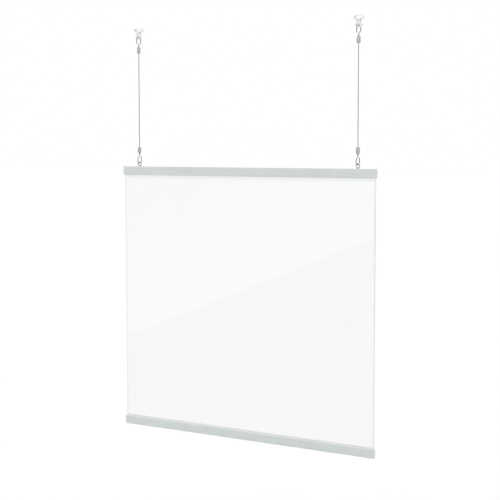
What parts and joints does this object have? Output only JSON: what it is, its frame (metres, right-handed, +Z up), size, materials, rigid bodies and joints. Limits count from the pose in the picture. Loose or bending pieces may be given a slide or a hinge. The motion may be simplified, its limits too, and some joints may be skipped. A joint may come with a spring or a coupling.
{
  "type": "hanging sneeze guard",
  "caption": "Hanging clear screen: a plastic sheet gripped by hinged aluminium snap rails, hung on steel cables with hooks and barrel ends from scissor clips on a ceiling grid.",
  "frame": {"origin": "midway between the two ceiling clips, on the plane of their lower jaw seats, just under the flange of the ceiling grid bar", "axes": "+X along the rails to the viewer's right, -Y out of the front of the screen, +Z up"},
  "size_m": [0.917, 0.0164, 1.3006],
  "materials": {
    "clear_sheet": "clear, glossy",
    "rail_aluminium": "satin anodised, extruded along its length",
    "grip_rubber": "matt",
    "cap_plastic": "fine grain",
    "eyelet_metal": "zinc plated casting",
    "hook_wire": "bright nickel plate",
    "barrel_metal": "turned, dark nickel plate",
    "cable_steel": "stranded wire",
    "ferrule_aluminium": "crimped",
    "clip_plastic": "translucent moulding",
    "pin_plastic": "smooth moulding"
  },
  "bodies": {
    "clip_pins": {"left_clip_pin": "pin_plastic", "right_clip_pin": "pin_plastic"},
    "left_front_arm": {"left_clip_front_arm": "clip_plastic"},
    "left_rear_arm": {"left_clip_rear_arm": "clip_plastic"},
    "right_front_arm": {"right_clip_front_arm": "clip_plastic"},
    "right_rear_arm": {"right_clip_rear_arm": "clip_plastic"},
    "hook_set": {"left_upper_hook": "hook_wire", "left_lower_hook": "hook_wire", "right_upper_hook": "hook_wire", "right_lower_hook": "hook_wire"},
    "left_cable_set": {"left_cable": "cable_steel", "left_upper_barrel": "barrel_metal", "left_upper_plug": "barrel_metal", "left_upper_ferrule": "ferrule_aluminium", "left_lower_barrel": "barrel_metal", "left_lower_plug": "barrel_metal", "left_lower_ferrule": "ferrule_aluminium"},
    "right_cable_set": {"right_cable": "cable_steel", "right_upper_barrel": "barrel_metal", "right_upper_plug": "barrel_metal", "right_upper_ferrule": "ferrule_aluminium", "right_lower_barrel": "barrel_metal", "right_lower_plug": "barrel_metal", "right_lower_ferrule": "ferrule_aluminium"},
    "eyelet_pair": {"left_eyelet": "eyelet_metal", "right_eyelet": "eyelet_metal"},
    "screen": {"clear_panel": "clear_sheet", "top_rail_back": "rail_aluminium", "bottom_rail_back": "rail_aluminium", "top_rail_back_grip": "grip_rubber", "bottom_rail_back_grip": "grip_rubber", "top_rail_left_cap": "cap_plastic", "top_rail_right_cap": "cap_plastic", "bottom_rail_left_cap": "cap_plastic", "bottom_rail_right_cap": "cap_plastic"},
    "top_jaw": {"top_rail_front": "rail_aluminium", "top_rail_front_grip": "grip_rubber"},
    "bottom_jaw": {"bottom_rail_front": "rail_aluminium", "bottom_rail_front_grip": "grip_rubber"}
  },
  "joints": [
    {"name": "guard_swing", "type": "hinge", "parent": "clip_pins", "child": "hook_set", "pos_m": [0, 0, -0.02749], "axis": [1, 0, 0], "range_deg": [-25, 25]},
    {"name": "panel_tilt", "type": "hinge", "parent": "hook_set", "child": "eyelet_pair", "pos_m": [0, 0, -0.42179], "axis": [1, 0, 0], "range_deg": [-30, 30]},
    {"name": "rail_shift", "type": "slide", "parent": "eyelet_pair", "child": "screen", "axis": [1, 0, 0], "range_m": [-0.04, 0.04]},
    {"name": "top_jaw_open", "type": "hinge", "parent": "screen", "child": "top_jaw", "pos_m": [0, -0.0047, -0.43765], "axis": [-1, 0, 0], "range_deg": [0, 50]},
    {"name": "bottom_jaw_open", "type": "hinge", "parent": "screen", "child": "bottom_jaw", "pos_m": [0, -0.0047, -1.28993], "axis": [1, 0, 0], "range_deg": [0, 50]},
    {"name": "left_cable_spin", "type": "hinge", "parent": "hook_set", "child": "left_cable_set", "pos_m": [-0.397, 0, -0.2228], "axis": [0, 0, 1], "continuous": true},
    {"name": "left_front_arm_open", "type": "hinge", "parent": "clip_pins", "child": "left_front_arm", "pos_m": [-0.397, 0, -0.014], "axis": [0, -1, 0], "range_deg": [0, 20]},
    {"name": "left_rear_arm_open", "type": "hinge", "parent": "clip_pins", "child": "left_rear_arm", "pos_m": [-0.397, 0, -0.014], "axis": [0, 1, 0], "range_deg": [0, 20]},
    {"name": "right_cable_spin", "type": "hinge", "parent": "hook_set", "child": "right_cable_set", "pos_m": [0.397, 0, -0.2228], "axis": [0, 0, 1], "continuous": true},
    {"name": "right_front_arm_open", "type": "hinge", "parent": "clip_pins", "child": "right_front_arm", "pos_m": [0.397, 0, -0.014], "axis": [0, -1, 0], "range_deg": [0, 20]},
    {"name": "right_rear_arm_open", "type": "hinge", "parent": "clip_pins", "child": "right_rear_arm", "pos_m": [0.397, 0, -0.014], "axis": [0, 1, 0], "range_deg": [0, 20]}
  ],
  "couplings": [
    {"joint": "left_rear_arm_open", "follows": "left_front_arm_open", "ratio": 1},
    {"joint": "right_rear_arm_open", "follows": "right_front_arm_open", "ratio": 1}
  ]
}
